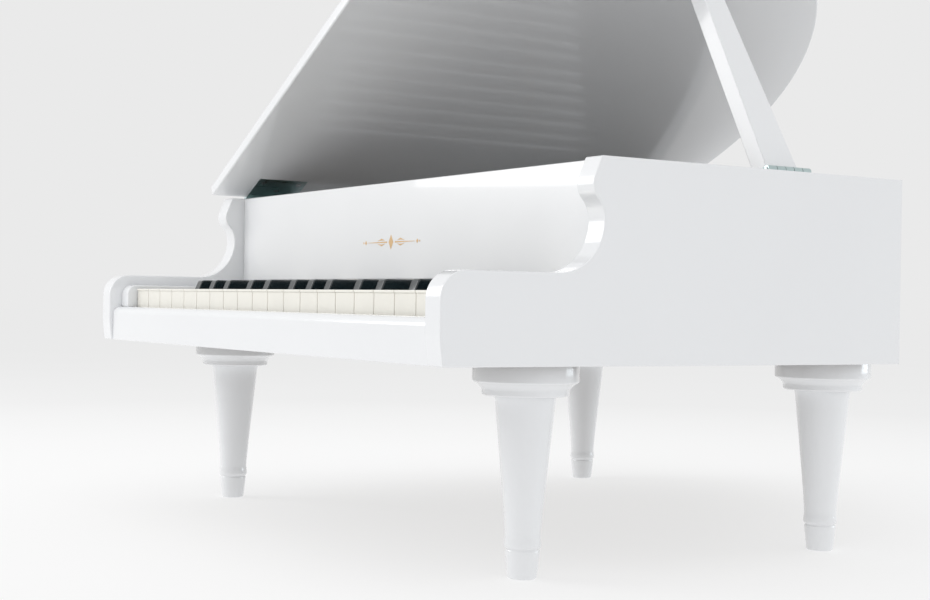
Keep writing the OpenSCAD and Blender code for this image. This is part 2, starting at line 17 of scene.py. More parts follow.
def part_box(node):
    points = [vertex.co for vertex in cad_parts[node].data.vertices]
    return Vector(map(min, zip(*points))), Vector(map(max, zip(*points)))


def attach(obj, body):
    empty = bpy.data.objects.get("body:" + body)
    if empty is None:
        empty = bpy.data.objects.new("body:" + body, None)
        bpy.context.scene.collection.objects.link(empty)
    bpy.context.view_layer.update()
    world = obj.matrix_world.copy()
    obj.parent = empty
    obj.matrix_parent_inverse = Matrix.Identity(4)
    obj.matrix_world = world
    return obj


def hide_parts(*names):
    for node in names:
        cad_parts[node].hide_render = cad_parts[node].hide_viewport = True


bl_info = {
    "name": "Miniature Grand Piano",
    "version": (1, 0, 0),
    "blender": (4, 5, 0),
    "location": "View3D > Sidebar > Piano",
    "description": "Builds a lacquered miniature grand piano around its packed frame",
    "category": "Add Mesh",
}

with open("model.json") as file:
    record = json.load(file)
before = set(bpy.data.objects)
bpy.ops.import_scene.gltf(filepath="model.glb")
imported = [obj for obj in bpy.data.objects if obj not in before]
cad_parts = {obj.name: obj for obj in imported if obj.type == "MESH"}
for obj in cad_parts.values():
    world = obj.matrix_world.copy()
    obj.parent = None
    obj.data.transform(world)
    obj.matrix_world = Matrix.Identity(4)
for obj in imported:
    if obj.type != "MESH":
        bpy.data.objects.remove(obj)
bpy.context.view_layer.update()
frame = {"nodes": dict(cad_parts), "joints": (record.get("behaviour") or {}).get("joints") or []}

MM = 0.001
SEMITONES = 32
PITCHES = ["f", "fs", "g", "gs", "a", "as", "b", "c", "cs", "d", "ds", "e"]
BLACK_PITCHES = (1, 3, 5, 8, 10)
KEY_NODES = [f"key_{PITCHES[k % 12]}{5 + (k + 5) // 12}" for k in range(SEMITONES)]
LEGS = ["leg_front_left", "leg_front_right", "leg_rear_left", "leg_rear_right"]


def is_black(k):
    return k % 12 in BLACK_PITCHES


def joint_place(name):
    found = next(j for j in frame["joints"] if j["name"] == name)
    return Vector(found["pos_m"])


# Places that several pieces share, in metres in the frame
RIGHT_LOW, RIGHT_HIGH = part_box("right_side")
LEFT_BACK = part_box("left_side")[1].y
FALL_LOW, FALL_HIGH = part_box("fallboard")
FRONT = RIGHT_LOW.y
CASE_BOTTOM = RIGHT_LOW.z
RIM_TOP = RIGHT_HIGH.z
HALF_WIDTH = RIGHT_HIGH.x
BOARD = RIGHT_HIGH.x - RIGHT_LOW.x
LID_AXIS = joint_place("lid_hinge")
LID_OPEN = math.radians(28)
SQUARE_EDGE = math.radians(50)


def from_front(x, back, up):
    """A point from its distance back from the arm fronts and its height over the case's underside."""
    return Vector((x, FRONT + back, CASE_BOTTOM + up))


# ---------------------------------------------------------------- settings


class PianoSizes(PropertyGroup):
    """Sizes of the rounds and trims that the frame doesn't fix."""

    edge_round: FloatProperty(
        name="Edge round", description="Radius of the lacquered edges",
        default=0.0009, min=0.0002, max=0.002, subtype="DISTANCE", unit="LENGTH")
    lid_round: FloatProperty(
        name="Lid edge round", description="Radius of the lid's edges",
        default=0.0013, min=0.0002, max=0.003, subtype="DISTANCE", unit="LENGTH")
    key_round: FloatProperty(
        name="Key edge round", description="Radius of the white keys' top edges",
        default=0.00035, min=0.0001, max=0.001, subtype="DISTANCE", unit="LENGTH")
    black_round: FloatProperty(
        name="Black key round", description="Radius of the black keys' top edges",
        default=0.0008, min=0.0001, max=0.0015, subtype="DISTANCE", unit="LENGTH")
    lip_height: FloatProperty(
        name="Key lip height", description="Height of the lip over a white key's front",
        default=0.0014, min=0.0005, max=0.003, subtype="DISTANCE", unit="LENGTH")
    lip_reach: FloatProperty(
        name="Key lip reach", description="How far the lip stands over a white key's front",
        default=0.0005, min=0.0, max=0.001, subtype="DISTANCE", unit="LENGTH")
    ornament_width: FloatProperty(
        name="Ornament width", description="Width of the gold ornament on the fallboard",
        default=0.0656, min=0.02, max=0.12, subtype="DISTANCE", unit="LENGTH")
    ornament_height: FloatProperty(
        name="Ornament height", description="Height of the gold ornament on the fallboard",
        default=0.0085, min=0.004, max=0.015, subtype="DISTANCE", unit="LENGTH")
    turning_steps: IntProperty(
        name="Turning steps", description="Faces round a turned leg",
        default=72, min=24, max=128)


class PianoColours(PropertyGroup):
    """Base colours of the finishes."""

    lacquer: FloatVectorProperty(
        name="Lacquer", description="White lacquer of the case, lid, prop and legs",
        size=4, subtype="COLOR", default=(0.84, 0.85, 0.865, 1))
    ivory: FloatVectorProperty(
        name="Ivory", description="Plastic of the white keys",
        size=4, subtype="COLOR", default=(0.865, 0.845, 0.775, 1))
    black: FloatVectorProperty(
        name="Black", description="Plastic of the black keys",
        size=4, subtype="COLOR", default=(0.008, 0.014, 0.017, 1))
    wood: FloatVectorProperty(
        name="Wood", description="Bare wood of the levers, rails and key bed",
        size=4, subtype="COLOR", default=(0.22, 0.132, 0.07, 1))
    board: FloatVectorProperty(
        name="Board", description="Bare brown fibreboard inside the case",
        size=4, subtype="COLOR", default=(0.065, 0.046, 0.028, 1))
    felt: FloatVectorProperty(
        name="Felt", description="Wool felt under the keys and the tubes",
        size=4, subtype="COLOR", default=(0.16, 0.02, 0.025, 1))
    gold: FloatVectorProperty(
        name="Gold", description="Printed gold of the ornament",
        size=4, subtype="COLOR", default=(0.62, 0.42, 0.22, 1))
    floor: FloatVectorProperty(
        name="Floor", description="Pale floor of the stage",
        size=4, subtype="COLOR", default=(0.30, 0.30, 0.30, 1))


# ---------------------------------------------------------------- materials


def shade(c, factor):
    return (min(1, c[0] * factor), min(1, c[1] * factor), min(1, c[2] * factor), 1)


class Finish:
    """A node material that is put together a step at a time."""

    def __init__(self, name):
        self.material = bpy.data.materials.new(name)
        self.material.use_nodes = True
        self.nodes = self.material.node_tree.nodes
        self.links = self.material.node_tree.links
        self.shader = self.nodes["Principled BSDF"]
        self.place = self.nodes.new("ShaderNodeTexCoord")

    def set(self, **values):
        for name, value in values.items():
            self.shader.inputs[name.replace("_", " ")].default_value = value
        return self

    def noise(self, scale, detail=3.0, roughness=0.5, stretch=(1, 1, 1), turn=(0, 0, 0)):
        mapping = self.nodes.new("ShaderNodeMapping")
        mapping.inputs["Scale"].default_value = stretch
        mapping.inputs["Rotation"].default_value = turn
        noise = self.nodes.new("ShaderNodeTexNoise")
        noise.inputs["Scale"].default_value = scale
        noise.inputs["Detail"].default_value = detail
        noise.inputs["Roughness"].default_value = roughness
        self.links.new(self.place.outputs["Object"], mapping.inputs["Vector"])
        self.links.new(mapping.outputs["Vector"], noise.inputs["Vector"])
        return noise.outputs["Fac"]

    def ramp(self, source, stops):
        ramp = self.nodes.new("ShaderNodeValToRGB")
        elements = ramp.color_ramp.elements
        while len(elements) < len(stops):
            elements.new(0.5)
        for element, (position, colour) in zip(elements, stops):
            element.position = position
            element.color = colour
        self.links.new(source, ramp.inputs["Fac"])
        return ramp.outputs["Color"]

    def colour(self, source, stops):
        self.links.new(self.ramp(source, stops), self.shader.inputs["Base Color"])
        return self

    def rough(self, source, low, high):
        span = self.nodes.new("ShaderNodeMapRange")
        span.inputs["From Min"].default_value = 0.3
        span.inputs["From Max"].default_value = 0.7
        span.inputs["To Min"].default_value = low
        span.inputs["To Max"].default_value = high
        self.links.new(source, span.inputs["Value"])
        self.links.new(span.outputs["Result"], self.shader.inputs["Roughness"])
        return self

    def pool_of_light(self, radius, far, near):
        """Makes the glow of a floor rise towards its middle."""
        mapping = self.nodes.new("ShaderNodeMapping")
        mapping.inputs["Scale"].default_value = (1 / radius, 1 / radius, 1 / radius)
        pool = self.nodes.new("ShaderNodeTexGradient")
        pool.gradient_type = "SPHERICAL"
        span = self.nodes.new("ShaderNodeMapRange")
        span.inputs["To Min"].default_value = far
        span.inputs["To Max"].default_value = near
        self.links.new(self.place.outputs["Object"], mapping.inputs["Vector"])
        self.links.new(mapping.outputs["Vector"], pool.inputs["Vector"])
        self.links.new(pool.outputs["Fac"], span.inputs["Value"])
        self.links.new(span.outputs["Result"], self.shader.inputs["Emission Strength"])

    def bump(self, layers):
        """Each layer is (height source, strength, distance in metres)."""
        below = None
        for source, strength, distance in layers:
            bump = self.nodes.new("ShaderNodeBump")
            bump.inputs["Strength"].default_value = strength
            bump.inputs["Distance"].default_value = distance
            self.links.new(source, bump.inputs["Height"])
            if below is not None:
                self.links.new(below, bump.inputs["Normal"])
            below = bump.outputs["Normal"]
        self.links.new(below, self.shader.inputs["Normal"])
        return self


def make_lacquer(colours):
    c = colours.lacquer
    f = Finish("white_lacquer")
    f.set(Coat_Weight=0.6, Coat_Roughness=0.03, IOR=1.5)
    f.colour(f.noise(9, 4), [(0.25, shade(c, 0.985)), (0.75, shade(c, 1.01))])
    f.rough(f.noise(28, 5), 0.11, 0.2)
    return f.bump([(f.noise(260, 2), 0.05, 0.0002), (f.noise(2600, 2), 0.03, 0.00004)])


def make_ivory(colours):
    c = colours.ivory
    f = Finish("key_ivory")
    f.set(Coat_Weight=0.3, Coat_Roughness=0.06, IOR=1.49)
    f.colour(f.noise(60, 4, stretch=(1, 0.15, 1)), [(0.2, shade(c, 0.97)), (0.8, shade(c, 1.02))])
    f.rough(f.noise(90, 4), 0.16, 0.27)
    return f.bump([(f.noise(1800, 3, stretch=(1, 0.1, 1)), 0.06, 0.00005)])


def make_black(colours):
    c = colours.black
    f = Finish("key_black")
    f.set(Coat_Weight=0.5, Coat_Roughness=0.05, IOR=1.5)
    f.colour(f.noise(70, 4), [(0.2, shade(c, 0.8)), (0.8, shade(c, 1.5))])
    f.rough(f.noise(120, 5), 0.1, 0.22)
    return f.bump([(f.noise(2200, 3, stretch=(1, 0.08, 1)), 0.08, 0.00005)])


def make_wood(colours):
    c = colours.wood
    f = Finish("bare_wood")
    grain = f.noise(55, 7, 0.62, stretch=(3.2, 0.22, 3.2))
    f.set(IOR=1.45)
    f.colour(grain, [(0.28, shade(c, 0.62)), (0.5, shade(c, 1.0)), (0.72, shade(c, 1.35))])
    f.rough(f.noise(160, 4, stretch=(2, 0.3, 2)), 0.5, 0.72)
    return f.bump([(grain, 0.25, 0.0002), (f.noise(1500, 3, stretch=(3, 0.2, 3)), 0.2, 0.0001)])


def make_board(colours):
    c = colours.board
    f = Finish("bare_fibreboard")
    f.set(IOR=1.4)
    fibre = f.noise(420, 7, 0.7)
    f.colour(fibre, [(0.3, shade(c, 0.7)), (0.7, shade(c, 1.4))])
    f.rough(f.noise(60, 4), 0.62, 0.8)
    return f.bump([(fibre, 0.3, 0.0002)])


def make_felt(colours):
    c = colours.felt
    f = Finish("wool_felt")
    f.set(Sheen_Weight=0.5, Sheen_Roughness=0.45, Roughness=0.95)
    fibre = f.noise(1400, 8, 0.75)
    f.colour(fibre, [(0.3, shade(c, 0.6)), (0.7, shade(c, 1.6))])
    return f.bump([(fibre, 0.9, 0.0004), (f.noise(180, 4), 0.5, 0.0005)])


def make_metal(name, colour, low, high, stretch=(1, 1, 1), blotch=0.08):
    f = Finish(name)
    f.set(Metallic=1.0)
    lines = f.noise(700, 4, 0.6, stretch=stretch)
    f.colour(f.noise(45, 5), [(0.25, shade(colour, 1 - blotch)), (0.75, shade(colour, 1 + blotch))])
    f.rough(lines, low, high)
    return f.bump([(lines, 0.12, 0.00006)])


def make_hammer():
    f = Finish("hammer_plastic")
    f.set(IOR=1.48)
    f.colour(f.noise(140, 4), [(0.25, (0.60, 0.59, 0.56, 1)), (0.75, (0.70, 0.69, 0.66, 1))])
    f.rough(f.noise(300, 4), 0.38, 0.55)
    return f.bump([(f.noise(1600, 3), 0.15, 0.00008)])


def make_gold(colours):
    c = colours.gold
    f = Finish("gold_print")
    f.set(Metallic=0.55)
    f.colour(f.noise(900, 5), [(0.25, shade(c, 0.88)), (0.75, shade(c, 1.12))])
    f.rough(f.noise(700, 4), 0.3, 0.45)
    return f.bump([(f.noise(3000, 3), 0.15, 0.00004)])


def make_floor(colours):
    c = colours.floor
    f = Finish("floor_paper")
    f.set(IOR=1.4, Specular_IOR_Level=0.0, Emission_Color=(1, 1, 1, 1))
    f.pool_of_light(1.1, 0.575, 0.69)
    f.colour(f.noise(4, 4), [(0.25, shade(c, 0.99)), (0.75, shade(c, 1.01))])
    f.rough(f.noise(20, 4), 0.5, 0.62)
    return f.bump([(f.noise(900, 3), 0.03, 0.0002)])


def make_finishes(colours):
    """All the finishes, by the short names that the pieces use."""
    return {
        "lacquer": make_lacquer(colours).material,
        "ivory": make_ivory(colours).material,
        "black": make_black(colours).material,
        "wood": make_wood(colours).material,
        "board": make_board(colours).material,
        "felt": make_felt(colours).material,
        "hammer": make_hammer().material,
        "gold": make_gold(colours).material,
        "floor": make_floor(colours).material,
        "tube": make_metal("drawn_tube", (0.78, 0.79, 0.80), 0.2, 0.36, (1, 0.02, 1), 0.03).material,
        "steel": make_metal("bright_steel", (0.55, 0.56, 0.57), 0.22, 0.38).material,
        "brass": make_metal("pin_brass", (0.72, 0.52, 0.22), 0.2, 0.35).material,
        "lead": make_metal("cast_lead", (0.20, 0.20, 0.21), 0.45, 0.7, blotch=0.2).material,
        "hinge": make_metal("plated_hinge", (0.50, 0.60, 0.60), 0.24, 0.42, (1, 0.05, 1)).material,
    }


FINISHES = {}


# ---------------------------------------------------------------- mesh helpers


def sharp_edges(bm, angle):
    limit = math.radians(angle)
    return [e for e in bm.edges if len(e.link_faces) == 2 and e.calc_face_angle(0) > limit]


def soften(bm, width, segments=3, angle=30, edges=None):
    """Rounds the sharp edges, or the ones given."""
    if edges is None:
        edges = sharp_edges(bm, angle)
    bmesh.ops.bevel(bm, geom=edges, offset=width, offset_type="OFFSET", segments=segments,
                    profile=0.5, affect="EDGES", clamp_overlap=True, material=-1)


def round_corner(bm, vert, reach, segments):
    """Rounds one corner of a flat face; the round starts reach away from it along both sides."""
    bmesh.ops.bevel(bm, geom=[vert], offset=reach, offset_type="OFFSET", segments=segments,
                    profile=0.5, affect="VERTICES", clamp_overlap=False, material=-1)


def extrude_faces(bm, faces, move):
    grown = bmesh.ops.extrude_face_region(bm, geom=faces)
    moved = [v for v in grown["geom"] if isinstance(v, bmesh.types.BMVert)]
    bmesh.ops.translate(bm, verts=moved, vec=move)
    return moved


def flat_face(bm, points):
    """One face through the points in their order, whose corners are returned."""
    verts = [bmesh.ops.create_vert(bm, co=p)["vert"][0] for p in points]
    for a, b in zip(verts, verts[1:] + verts[:1]):
        bmesh.ops.contextual_create(bm, geom=[a, b])
    bmesh.ops.contextual_create(bm, geom=bm.edges[:])
    return verts


def recalculated(bm):
    bmesh.ops.remove_doubles(bm, verts=bm.verts, dist=1e-6)
    bmesh.ops.recalc_face_normals(bm, faces=bm.faces)


def add_part(bm, part, finish=0):
    """Adds a finished part to bm, with its faces in one of the piece's finishes."""
    recalculated(part)
    for face in part.faces:
        face.material_index = finish
    held = bpy.data.meshes.new("part")
    part.to_mesh(held)
    part.free()
    bm.from_mesh(held)
    bpy.data.meshes.remove(held)


def brick(low, high, width, segments=2):
    """A box with rounded edges."""
    low, high = Vector(low), Vector(high)
    part = bmesh.new()
    size = high - low
    place = Matrix.Translation((low + high) / 2) @ Matrix.Diagonal((*size, 1))
    bmesh.ops.create_cube(part, size=1, matrix=place)
    soften(part, width, segments)
    return part


def turned(outline, centre, axis, steps):
    """A closed solid turned from (radius, along) points about the axis, X, Y or Z."""
    part = bmesh.new()
    along = {"X": Vector((1, 0, 0)), "Y": Vector((0, 1, 0)), "Z": Vector((0, 0, 1))}[axis]
    out = {"X": Vector((0, 1, 0)), "Y": Vector((0, 0, 1)), "Z": Vector((1, 0, 0))}[axis]
    centre = Vector(centre)
    verts = [bmesh.ops.create_vert(part, co=centre + out * r + along * t)["vert"][0]
             for r, t in outline]
    for a, b in zip(verts, verts[1:]):
        bmesh.ops.contextual_create(part, geom=[a, b])
    bmesh.ops.spin(part, geom=part.verts[:] + part.edges[:], cent=centre, axis=along,
                   angle=math.tau, steps=steps, use_merge=True, use_duplicate=False)
    recalculated(part)
    return part


def rod(start, length, radius, axis, steps=24, edge=0.1 * MM):
    """A round bar with its two rims broken."""
    edge = min(edge, radius / 3)
    outline = [(0, 0), (radius - edge, 0), (radius, edge), (radius, length - edge),
               (radius - edge, length), (0, length)]
    return turned(outline, start, axis, steps)


def extruded(points, move, rounds=None, width=0.0, segments=3, angle=30):
    """A board from a flat outline. rounds maps a corner's number to (reach, segments)."""
    part = bmesh.new()
    verts = flat_face(part, points)
    for number, (reach, steps) in (rounds or {}).items():
        round_corner(part, verts[number], reach, steps)
    extrude_faces(part, part.faces[:], move)
    recalculated(part)
    if width:
        soften(part, width, segments, angle)
    return part


def merge_flat(bm):
    """Joins the triangles of a CAD mesh into its flat faces."""
    bmesh.ops.remove_doubles(bm, verts=bm.verts, dist=1e-6)
    bmesh.ops.dissolve_limit(bm, angle_limit=math.radians(0.5), verts=bm.verts, edges=bm.edges)


def refined(node, width, segments=2, angle=30, skip=None):
    """A merged copy of a CAD node with its sharp edges rounded, but for those that skip picks."""
    part = bmesh.new()
    part.from_mesh(frame["nodes"][node].data)
    merge_flat(part)
    edges = [e for e in sharp_edges(part, angle) if skip is None or not skip(e)]
    soften(part, width, segments, edges=edges)
    return part


def mark_sharp(bm):
    """Keeps the shading of the square edges apart; the steps of a round stay smooth."""
    for edge in bm.edges:
        edge.smooth = len(edge.link_faces) == 2 and edge.calc_face_angle(0) < SQUARE_EDGE


def even_normals(obj):
    """Shades flat faces flat and keeps the change to the rounds beside them."""
    even = obj.modifiers.new("even_normals", "WEIGHTED_NORMAL")
    even.mode = "FACE_AREA"
    even.weight = 60
    even.keep_sharp = True


def piece(name, bm, finishes, body, replaces=(), weighted=True):
    """Makes the finished object, with its place in its mesh, and rides it on its body."""
    mesh = bpy.data.meshes.new(name)
    mark_sharp(bm)
    bm.to_mesh(mesh)
    bm.free()
    for finish in finishes:
        mesh.materials.append(FINISHES[finish])
    mesh.shade_smooth()
    obj = bpy.data.objects.new(name, mesh)
    bpy.context.scene.collection.objects.link(obj)
    if weighted:
        even_normals(obj)
    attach(obj, body)
    if replaces:
        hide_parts(*replaces)
    return obj


def bare_inside(bm, finish=1):
    """Gives the faces that look into the case behind the fallboard the piece's bare finish."""
    back = FALL_HIGH.y - 0.5 * MM
    middle = Vector((0, 0.02, 0))
    for face in bm.faces:
        centre = face.calc_center_median()
        inward = (middle - centre).to_2d().normalized()
        flat = face.normal.to_2d()
        if centre.y > back and flat.length > 0.9 and flat.normalized().dot(inward) > 0.15:
            face.material_index = finish


def split_behind_fallboard(bm):
    back = FALL_HIGH.y - 1 * MM
    bmesh.ops.bisect_plane(bm, geom=bm.verts[:] + bm.edges[:] + bm.faces[:], dist=1e-7,
                           plane_co=Vector((0, back, 0)), plane_no=Vector((0, 1, 0)))


def notch(obj, low, high):
    """Cuts a box-shaped recess into a piece."""
    block = brick(low, high, 0.05 * MM, 1)
    mesh = bpy.data.meshes.new("cutter")
    block.to_mesh(mesh)
    block.free()
    cutter = bpy.data.objects.new("cutter", mesh)
    bpy.context.scene.collection.objects.link(cutter)
    cut = obj.modifiers.new("recess", "BOOLEAN")
    cut.operation = "DIFFERENCE"
    cut.solver = "EXACT"
    cut.object = cutter
    obj.modifiers.remove(obj.modifiers["even_normals"])
    bpy.context.view_layer.update()
    seen = obj.evaluated_get(bpy.context.evaluated_depsgraph_get())
    made = bpy.data.meshes.new_from_object(seen)
    obj.modifiers.clear()
    bm = bmesh.new()
    bm.from_mesh(made)
    mark_sharp(bm)
    bm.to_mesh(made)
    bm.free()
    old = obj.data
    obj.data = made
    made.name = obj.name
    bpy.data.meshes.remove(old)
    bpy.data.objects.remove(cutter)
    bpy.data.meshes.remove(mesh)
    even_normals(obj)


def repaint(finish, *nodes):
    """Gives CAD nodes whose shape is right a detailed finish."""
    for node in nodes:
        slots = frame["nodes"][node].data.materials
        slots.clear()
        slots.append(FINISHES[finish])


def sizes():
    return bpy.context.scene.piano_sizes


# ---------------------------------------------------------------- case

# The side boards' front scroll, seen from the side
TOE_IN = 1.6 * MM  # how far the arm's foot stands back
ARM_TOP = 42 * MM
NOSE_ROUND = 12.8 * MM  # top of the arm's front
SCOOP_ROUND = 24.8 * MM  # hollow between the arm and the cheek
THROAT_ROUND = 14 * MM  # tighter hollow above it
BROW_ROUND = 8.8 * MM  # cheek above the throat
BROW_SLOPE = 22  # lean of the cheek's top part, in degrees
CHEEK_MARGIN = 6.8 * MM  # from the throat to the fallboard's front
MITRE_REACH = 12 * MM  # the bent side's edges stay square this far from its mitre


def side_outline(part, x, length):
    """Draws a side board's outline, with its front scroll, as one face at x."""
    top = RIM_TOP - CASE_BOTTOM
    scoop_back = FALL_LOW.y - FRONT - CHEEK_MARGIN - SCOOP_ROUND
    hollow_up = ARM_TOP + SCOOP_ROUND
    throat_back = scoop_back + SCOOP_ROUND - THROAT_ROUND
    step = (THROAT_ROUND + BROW_ROUND) * math.cos(math.radians(45))
    brow_back, brow_up = throat_back + step, hollow_up + step
    slope = math.radians(BROW_SLOPE)
    brow_end = brow_back - BROW_ROUND * math.cos(slope)
    rise = top - brow_up - BROW_ROUND * math.sin(slope)

    def at(back, up):
        return from_front(x, back, up)

    def arc(last, back, up, turn, steps):
        """Carries the outline on from its last corner round a centre."""
        made = bmesh.ops.spin(part, geom=[last], cent=at(back, up), axis=Vector((1, 0, 0)),
                              angle=math.radians(turn), steps=steps, use_merge=False,
                              use_duplicate=False)
        return next(g for g in made["geom_last"] if isinstance(g, bmesh.types.BMVert))

    def line(last, back, up):
        vert = bmesh.ops.create_vert(part, co=at(back, up))["vert"][0]
        bmesh.ops.contextual_create(part, geom=[last, vert])
        return vert

    start = bmesh.ops.create_vert(part, co=at(TOE_IN, 0))["vert"][0]
    last = line(start, 0.25 * MM, 11 * MM)
    last = line(last, 0, 14.5 * MM)
    last = line(last, 0, ARM_TOP - NOSE_ROUND)
    last = arc(last, NOSE_ROUND, ARM_TOP - NOSE_ROUND, -90, 24)
    last = line(last, scoop_back, ARM_TOP)
    last = arc(last, scoop_back, hollow_up, 90, 32)
    last = arc(last, throat_back, hollow_up, 45, 14)
    last = arc(last, brow_back, brow_up, -45 - BROW_SLOPE, 20)
    last = line(last, brow_end + rise * math.tan(slope), top)
    last = line(last, length, top)
    last = line(last, length, 0)
    bmesh.ops.contextual_create(part, geom=[last, start])
    bmesh.ops.remove_doubles(part, verts=part.verts, dist=1e-6)
    bmesh.ops.contextual_create(part, geom=part.edges[:])


def side_board(x, length):
    part = bmesh.new()
    side_outline(part, x, length)
    extrude_faces(part, part.faces[:], (BOARD, 0, 0))
    recalculated(part)
    return part


def hinge_spans(node, digits):
    """From where to where the front and the rear leaf of a node reach along the case."""
    places = {round(v.co.y, digits) for v in frame["nodes"][node].data.vertices}
    middle = (min(places) + max(places)) / 2
    front = [y for y in places if y < middle]
    rear = [y for y in places if y >= middle]
    return [(min(front), max(front)), (min(rear), max(rear))]


def hinge_rests():
    """Boxes that the case leaves of the lid hinges lie in."""
    left, right = -HALF_WIDTH - 1 * MM, -HALF_WIDTH + BOARD - 0.05 * MM
    return [((left, low, RIM_TOP - 0.9 * MM), (right, high, RIM_TOP + 1 * MM))
            for low, high in hinge_spans("lid_hinge_case_leaves", 3)]


class PIANO_OT_side_boards(Operator):
    """Build the two side boards with their scrolled fronts."""

    bl_idname = "piano.side_boards"
    bl_label = "Side boards"

    def execute(self, context):
        width = sizes().edge_round
        left = side_board(-HALF_WIDTH, LEFT_BACK - FRONT)
        soften(left, width, 4, 40)
        split_behind_fallboard(left)
        bare_inside(left)
        left = piece("left_side_board", left, ["lacquer", "board"], "case", ["left_side"])
        for low, high in hinge_rests():
            notch(left, low, high)
        right = side_board(HALF_WIDTH - BOARD, RIGHT_HIGH.y - FRONT)
        inner = min(v.co.y for v in frame["nodes"]["bent_side"].data.vertices
                    if v.co.x > HALF_WIDTH - BOARD - 0.5 * MM)
        joint = Vector((BOARD, RIGHT_HIGH.y - inner, 0)).normalized()
        across = Vector((-joint.y, joint.x, 0))
        cut = bmesh.ops.bisect_plane(
            right, geom=right.verts[:] + right.edges[:] + right.faces[:], dist=1e-7,
            plane_co=Vector((HALF_WIDTH, RIGHT_HIGH.y, 0)), plane_no=across, clear_outer=True)
        rim = [e for e in cut["geom_cut"] if isinstance(e, bmesh.types.BMEdge)]
        bmesh.ops.holes_fill(right, edges=rim, sides=0)
        recalculated(right)
        edges = [e for e in sharp_edges(right, 40)
                 if min(v.co.y for v in e.verts) < inner - 0.5 * MM]
        soften(right, width, 4, edges=edges)
        split_behind_fallboard(right)
        bare_inside(right)
        right = piece("right_side_board", right, ["lacquer", "board"], "case", ["right_side"])
        low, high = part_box("prop_hinge_rim_leaf")
        notch(right, (RIGHT_LOW.x - 1 * MM, low.y, RIM_TOP - 1 * MM),
              (high.x, high.y, RIM_TOP + 1 * MM))
        return {"FINISHED"}


class PIANO_OT_case_boards(Operator):
    """Build the bent side, key bed, fallboard, key slip and key blocks."""

    bl_idname = "piano.case_boards"
    bl_label = "Case boards"

    def execute(self, context):
        width = sizes().edge_round
        joint = RIGHT_HIGH.y

        def at_joint(edge):
            middle = (edge.verts[0].co + edge.verts[1].co) / 2
            near = max(abs(v.co.y - middle.y) for v in edge.verts) < MITRE_REACH
            at_right = middle.x > HALF_WIDTH - BOARD - 0.5 * MM and middle.y < joint + 0.5 * MM
            return near and (at_right or middle.y < LEFT_BACK + 0.3 * MM)

        bent = refined("bent_side", width, 4, 40, at_joint)
        bare_inside(bent)
        piece("bent_side_board", bent, ["lacquer", "board"], "case", ["bent_side"])
        fall = refined("fallboard", width, 4)
        for face in fall.faces:
            face.material_index = 1 if face.normal.y > 0.9 else 0
        piece("fall_board", fall, ["lacquer", "board"], "case", ["fallboard"])
        piece("front_slip", refined("key_slip", 0.5 * MM, 3, 40), ["lacquer"], "case",
              ["key_slip"])
        piece("end_blocks", refined("key_blocks", 0.7 * MM, 3, 40), ["lacquer"], "case",
              ["key_blocks"])
        piece("bottom_board", refined("key_bed", 0.4 * MM, 2), ["board"], "case", ["key_bed"])
        return {"FINISHED"}


ORNAMENT_MIDDLE = 3.8 * MM, 163.75 * MM  # across and up, in the frame
PRINT_THICKNESS = 0.12 * MM
PRINT_ROOT = 0.02 * MM  # how far the print starts inside the fallboard


class PIANO_OT_ornament(Operator):
    """Build the plain gold ornament printed on the fallboard."""

    bl_idname = "piano.ornament"
    bl_label = "Ornament"

    def execute(self, context):
        half = sizes().ornament_width / 2
        tall = sizes().ornament_height / 2
        x, z = ORNAMENT_MIDDLE
        y = FALL_LOW.y + PRINT_ROOT
        thickness = Vector((0, -PRINT_THICKNESS, 0))
        bm = bmesh.new()

        def stamp(corners):
            add_part(bm, extruded([Vector((x + a, y, z + b)) for a, b in corners], thickness))

        core = tall * 0.62
        stamp([(-core, 0), (0, -tall), (core, 0), (0, tall)])
        for side in (-1, 1):
            inner, tip = side * core * 1.7, side * half * 0.82
            stamp([(inner, -tall * 0.10), (tip, -0.12 * MM), (tip, 0.12 * MM), (inner, tall * 0.10)])
            for reach, size in ((0.90, 0.30), (0.98, 0.16)):
                c, s = side * half * reach, tall * size
                stamp([(c - s, 0), (c, -s), (c + s, 0), (c, s)])
            leaf = side * core * 2.6
            for up in (-1, 1):
                stamp([(leaf, up * tall * 0.22), (leaf + side * tall * 0.9, up * tall * 0.52),
                       (leaf + side * tall * 2.1, up * tall * 0.20),
                       (leaf + side * tall * 0.9, up * tall * 0.28)])
        piece("fallboard_ornament", bm, ["gold"], "case", weighted=False)
        return {"FINISHED"}


# ---------------------------------------------------------------- keys and action


# Back from the arm fronts, up from the case's underside, or across
WHITE_FRONT, WHITE_TOP = 13.8 * MM, 33.2 * MM
WHITE_HEAD = 47.2 * MM  # where a white cap's notches end
BLACK_FRONT, BLACK_TOP = 47.8 * MM, 39.5 * MM
BLACK_LEAN = 2.7 * MM  # how far a black key's front leans back
CAP_BACK, CAP_LOW = 100 * MM, 29.7 * MM
KEY_GAP = 0.6 * MM
END_TAIL = 13.1 * MM  # width of the last key's tail, as if a black key followed it
SKIRT = 2 * MM  # thickness of a white cap's front
WALL = 1.2 * MM  # thickness of a white cap's sides
LEVER_LOW, LEVER_HIGH = 17.3 * MM, 29.65 * MM
LEVER_FRONT, LEVER_BACK = 16.4 * MM, 174 * MM
LEVER_WIDTH = 8.4 * MM
HAMMER_HALF, HAMMER_ROUND = 3 * MM, 2.6 * MM
HAMMER_IN = 6 * MM  # from the lever's end to the hammer's middle
LEAD_IN, LEAD_UP, LEAD_RADIUS = 22 * MM, 23 * MM, 3 * MM
LEAD_PROUD = 0.05 * MM


